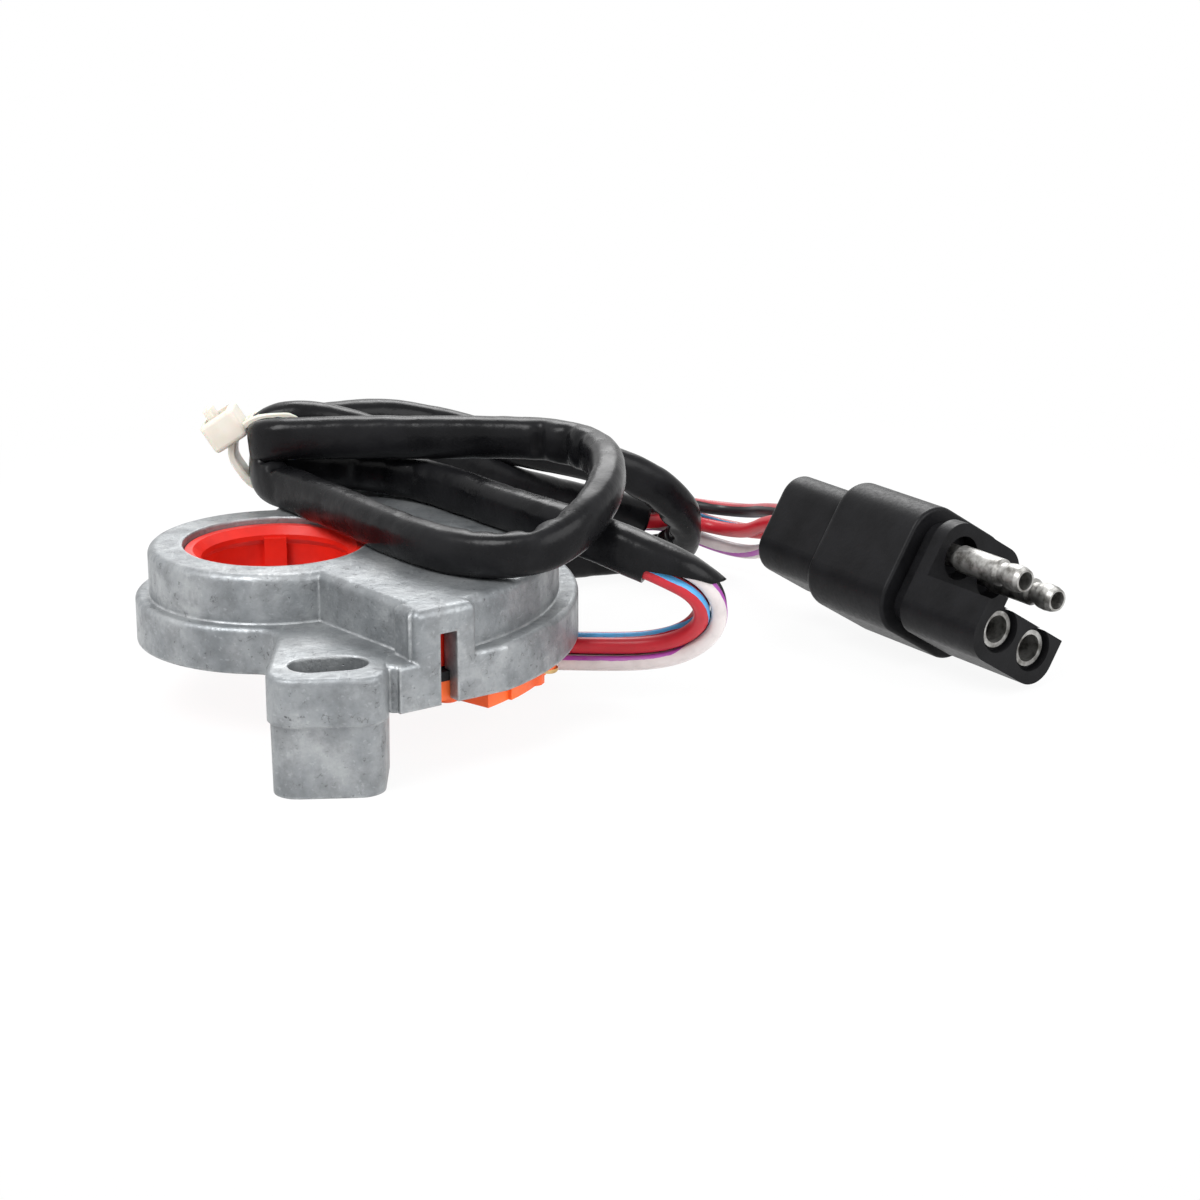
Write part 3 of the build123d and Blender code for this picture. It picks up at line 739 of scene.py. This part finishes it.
def tieHeadMesh():
    # The latch head with its slot, and the strap's cut end standing out of it
    build = bmesh.new()
    sizes = [side * mm for side in tie["headSize"]]
    made = bmesh.ops.create_cube(build, size=1.0)
    bmesh.ops.scale(build, vec=sizes, verts=made["verts"])
    rounding = {"profile": 0.5, "affect": "EDGES"}
    bmesh.ops.bevel(build, geom=build.edges[:], offset=tie["headRound"] * mm, segments=3, **rounding)
    for sign in (-1, 1):
        end = max(build.faces, key=lambda face: sign * face.normal.z * 10 + face.calc_area())
        bmesh.ops.inset_region(build, faces=[end], thickness=tie["slotEdge"] * mm, depth=0)
        moved = bmesh.ops.extrude_discrete_faces(build, faces=[end])
        bmesh.ops.translate(build, vec=(0, 0, -sign * tie["slotDepth"] * mm), verts=moved["faces"][0].verts)
    stub = bmesh.ops.create_cube(build, size=1.0)
    bmesh.ops.scale(build, vec=[side * mm for side in tie["stub"]], verts=stub["verts"])
    across, above = tie["stubAt"]
    bmesh.ops.translate(build, vec=(across * mm, 0, sizes[2] / 2 + above * mm), verts=stub["verts"])
    ends = set(stub["verts"])
    edges = [edge for edge in build.edges if ends & set(edge.verts)]
    bmesh.ops.bevel(build, geom=edges, offset=tie["stubRound"] * mm, segments=2, **rounding)
    place = Matrix.Translation((tie["headAt"][0] * mm, tie["y"] * mm, tie["headAt"][1] * mm))
    build.transform(place @ Matrix.Rotation(math.radians(-tie["headTurn"]), 4, "Y"))
    bmesh.ops.recalc_face_normals(build, faces=build.faces[:])
    mesh = bpy.data.meshes.new("tieHead")
    build.to_mesh(mesh)
    build.free()
    return mesh


def tiePiece():
    line = evenSteps(loopLine(), tie["step"])[0][:-1]
    band = strapBand(line)
    build = bmesh.new()
    build.from_mesh(band.data)
    build.from_mesh(strapRibs(line))
    build.from_mesh(tieHeadMesh())
    build.to_mesh(band.data)
    build.free()
    band.data.materials.clear()
    band.data.materials.append(nylon)
    for polygon in band.data.polygons:
        polygon.material_index = 0
    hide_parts("cable_tie")
    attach(band, switchBody)
    return band


tieSkin = tiePiece()
print("stage: cable tie")

# the sleeve

sleeve = {
    "width": 7.0, "thick": 5.6, "endWidth": 7.3, "endThick": 6.8, "square": 0.74, "diameter": 6.5, "wall": 0.45,
    "step": 0.6, "sides": 56, "reach": 11.4, "blend": 6.0, "inside": 9.0, "roundedFor": 12.0, "tipNarrower": 0.9,
    "creaseLength": 3.6, "creaseWider": 0.7, "creaseThinner": 2.7,
    "swellEvery": 17, "swellWider": 0.35, "swellThinner": 0.5,
    "pinchEvery": 4.6, "pinchDepth": 1.5, "pinchFrom": 0.03, "pinchSpan": 0.06, "roughness": 0.10, "mouthRings": 32,
}


def read(values, places, wanted):
    # Values of the line at wanted places along it
    if values.ndim == 1:
        return np.interp(wanted, places, values)
    return np.stack([np.interp(wanted, places, values[:, k]) for k in range(values.shape[1])], axis=1)


def sleeveShape(line, places):
    # The sleeve's directions and half sizes along its line, flatter in the folds and rounder at its ends
    along = np.gradient(line, places, axis=0)
    along /= np.linalg.norm(along, axis=1)[:, None]
    wide = np.array([0, 0, 1.0]) - along * along[:, 2:]
    wide /= np.linalg.norm(wide, axis=1)[:, None]
    bend = np.gradient(along, places, axis=0)
    tightness = np.linalg.norm(bend, axis=1)
    creased = np.zeros(len(line))
    for i in range(1, len(line) - 1):
        if line[i, 0] < -1 and line[i, 0] <= line[i - 1, 0] and line[i, 0] < line[i + 1, 0]:
            creased = np.maximum(creased, np.exp(-((places - places[i]) / sleeve["creaseLength"]) ** 2))
    fromEnd = np.minimum(np.maximum(places - sleeve["reach"], 0), places[-1] - places)
    rounded = np.exp(-(fromEnd / sleeve["roundedFor"]) ** 2)
    swell = np.array([noise.noise(Vector((place / sleeve["swellEvery"], 3.1, 0))) for place in places])
    swell *= 1 - rounded
    tip = np.clip((sleeve["reach"] - places) / sleeve["reach"], 0, 1)
    width = sleeve["width"] + (sleeve["endWidth"] - sleeve["width"]) * rounded
    width += sleeve["creaseWider"] * creased + sleeve["swellWider"] * swell - sleeve["tipNarrower"] * tip
    thick = sleeve["thick"] + (sleeve["endThick"] - sleeve["thick"]) * rounded
    thick -= sleeve["creaseThinner"] * creased + sleeve["swellThinner"] * swell
    tight = np.clip((tightness - sleeve["pinchFrom"]) / sleeve["pinchSpan"], 0, 1) * (1 - rounded)
    return {
        "line": line, "wide": wide, "flat": np.cross(along, wide), "width": width, "thick": thick,
        "inner": bend / np.maximum(tightness, 1e-6)[:, None], "tight": tight,
    }


def sleeveRing(shape, places, wanted, inset):
    # One ring of the skin, with every column at its own place along the line
    turn = 2 * np.pi * np.arange(sleeve["sides"]) / sleeve["sides"]
    c, s = np.cos(turn), np.sin(turn)
    here = {name: read(values, places, wanted) for name, values in shape.items()}
    x = (here["width"] / 2 - inset) * np.abs(c) ** sleeve["square"] * np.sign(c)
    y = (here["thick"] / 2 - inset) * np.abs(s) ** sleeve["square"] * np.sign(s)
    outward = here["wide"] * c[:, None] + here["flat"] * s[:, None]
    ring = here["line"] + here["wide"] * x[:, None] + here["flat"] * y[:, None]
    facing = np.clip((outward * here["inner"]).sum(axis=1), 0, 1) ** 1.3
    pinch = 0.5 + 0.5 * np.sin(2 * np.pi * wanted / sleeve["pinchEvery"] + 2.4 * np.sin(wanted / 7.3))
    rough = np.array([noise.noise(Vector(p / 4.5)) + 0.5 * noise.noise(Vector(p / 1.9)) for p in ring])
    depth = sleeve["roughness"] * rough - sleeve["pinchDepth"] * facing * here["tight"] * pinch ** 2
    return (ring + outward * depth[:, None]) * mm


def sleevePiece():
    # A thin open tube whose upper half runs on as a tongue at the mouth
    points = tongueRoute + entryRoute[:-1] + [(4.6, 28.3, 20.6)] + foldToFar + farRoute[:-1] + [(4.6, 34.9, 18.5)]
    points += foldToNear + nearRoute + foldToExit + exitRoute
    line, places = evenSteps(smoothLine("sleeveLine", points) / mm, sleeve["step"])
    shape = sleeveShape(line, places)
    fromTop = np.degrees(np.abs(np.angle(np.exp(2j * np.pi * np.arange(sleeve["sides"]) / sleeve["sides"]))))
    reach = np.where(fromTop < 80, 1 - 0.25 * (fromTop / 80) ** 1.5, 0.75 * np.clip((97 - fromTop) / 17, 0, 1))
    lip = sleeve["reach"] * (1 - reach)
    blended = sleeve["reach"] + sleeve["blend"]
    nearMouth = [lip + (blended - lip) * k / sleeve["mouthRings"] for k in range(sleeve["mouthRings"] + 1)]
    deep = [np.full(sleeve["sides"], blended + d) for d in (3.0, 6.0, sleeve["inside"])]
    count = int((places[-1] - blended) / sleeve["step"])
    onward = [np.full(sleeve["sides"], place) for place in np.linspace(blended, places[-1], count)[1:]]
    wall = sleeve["wall"]
    rings = [sleeveRing(shape, places, place, wall) for place in reversed(nearMouth + deep)]
    rim = len(rings)
    rings += [sleeveRing(shape, places, place, 0) for place in nearMouth + onward]
    outlet = len(rings)
    rings += [sleeveRing(shape, places, onward[-1] - d, wall) for d in (0, 2.0, 4.0, 6.0, sleeve["inside"])]
    piece = sweptSkin("sleeveSkin", rings)
    for ring in (rim - 1, outlet - 1):
        for k in range(sleeve["sides"]):
            piece.data.polygons[ring * sleeve["sides"] + k].use_smooth = False
    piece.data.materials.append(sleeveBlack)
    return piece, line * mm



sleeveSkin, sleeveLine = sleevePiece()
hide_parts("sleeve_entry", "sleeve_far_loop", "sleeve_near_loop", "sleeve_exit", "tied_folds")
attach(sleeveSkin, switchBody)
print("stage: sleeve", round(lineLength(sleeveLine) / mm), "mm")

# the wires

wire = {
    "diameter": 2.6, "step": 0.4, "sides": 32, "leadSpread": [2.05] * 8 + [1.95, 1.85],
    "tailSpread": [2.05, 2.2, 3.3, 3.9, 3.6, 3.0, 2.8], "tailTwist": 100.0, "insideSleeve": 6.0, "capValue": 0.3,
}
leadAngles = {"red_lead_a": -135, "white_lead": 135, "red_lead_b": -45, "black_lead": 45}
tailAngles = {"red_tail_a": 156.4, "white_tail": 66.4, "red_tail_b": -23.6, "black_tail": -113.6}

# where each wire's stripe looks, as x, y and z, after each share of the wire's length
stripeLooks = {
    "red_lead_a": [
        (0.0, 0, 0.6, -0.8), (0.45, 0, 0.6, -0.8), (0.57, 0.8, 0.3, -0.5),
        (0.63, 0.85, -0.51, 0.15), (0.75, 0.48, -0.77, 0.59), (1.0, 0.25, -0.89, 0.52),
    ],
    "white_lead": [
        (0.0, 0, -0.67, 0.9), (0.38, 0, -0.67, 0.9), (0.45, -0.3, 0.3, 0.9), (0.50, 0.4, 0.8, 0.4),
        (0.55, 0.95, 0.1, -0.1), (0.75, 0.95, -0.25, -0.1), (1.0, 0.8, -0.5, 0.3),
    ],
    "red_lead_b": [
        (0.0, 0, -0.5, 0.85), (0.45, 0, -0.5, 0.85), (0.60, -0.2, -0.95, 0.2),
        (0.72, -0.5, 0.8, -0.2), (1.0, -0.5, 0.8, -0.2),
    ],
    "black_lead": [(0.0, 0, 0.5, -0.85), (1.0, 0, 0.8, -0.4)],
    "red_tail_a": [(0.0, 0.2, 0.9, -0.4), (1.0, 0.6, 0.6, -0.5)],
    "white_tail": [(0.0, 0, -0.4, -0.9), (0.35, 0, -0.5, -0.8), (0.6, -0.6, -0.5, -0.2), (1.0, -0.5, -0.4, 0.7)],
    "red_tail_b": [(0.0, 0, -0.7, 0.7), (1.0, -0.6, -0.4, 0.6)],
    "black_tail": [(0.0, 0, -0.3, 0.95), (1.0, -0.4, -0.3, 0.8)],
}


def stripeTurns(node, places, up, side):
    # Where the stripe's middle is, in turns round each ring
    keys = np.array(stripeLooks[node])
    look = read(keys[:, 1:], keys[:, 0], places / places[-1])
    return np.unwrap(np.arctan2((look * side).sum(axis=1), (look * up).sum(axis=1))) / (2 * np.pi)


def wirePiece(node, points, finish):
    line, places = evenSteps(smoothLine(node + "Line", points), wire["step"] * mm)
    up, side = steadyFrames(line, (0, 0, 1))
    count = wire["sides"]
    turn = 2 * np.pi * np.arange(count) / count
    radius = wire["diameter"] / 2 * mm
    rings = []
    for i, centre in enumerate(line):
        rings.append(centre + (np.outer(np.cos(turn), up[i]) + np.outer(np.sin(turn), side[i])) * radius)
    piece = sweptSkin(node + "Skin", rings)
    stripe = stripeTurns(node, places, up, side)
    low, high = np.arange(count) / count, np.arange(1, count + 1) / count
    values = []
    for here, onward in zip(stripe[:-1], stripe[1:]):
        corners = np.stack([low - here, high - here, high - onward, low - onward], axis=1)
        values.append((corners - np.round(corners.mean(axis=1))[:, None]).ravel())
    values.append(np.full(2 * count, wire["capValue"]))
    piece.data.attributes.new("wireRound", "FLOAT", "CORNER").data.foreach_set("value", np.concatenate(values))
    piece.data.materials.append(finish)
    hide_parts(node)
    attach(piece, switchBody)
    return piece, line


def addWire(node, points):
    color = node.split("_")[0]
    piece, line = wirePiece(node, points, wireFinishes[color])


for node, angle in leadAngles.items():
    addWire(node, beside(leadRoute, angle, wire["leadSpread"]))
for node, angle in tailAngles.items():
    points = beside(tailRoute, angle, wire["tailSpread"], wire["tailTwist"])
    back = Vector(exitRoute[-2]) - Vector(exitRoute[-1])
    inside = tuple(Vector(points[0]) + back.normalized() * wire["insideSleeve"])
    addWire(node, [inside] + points)
print("stage: eight wires")
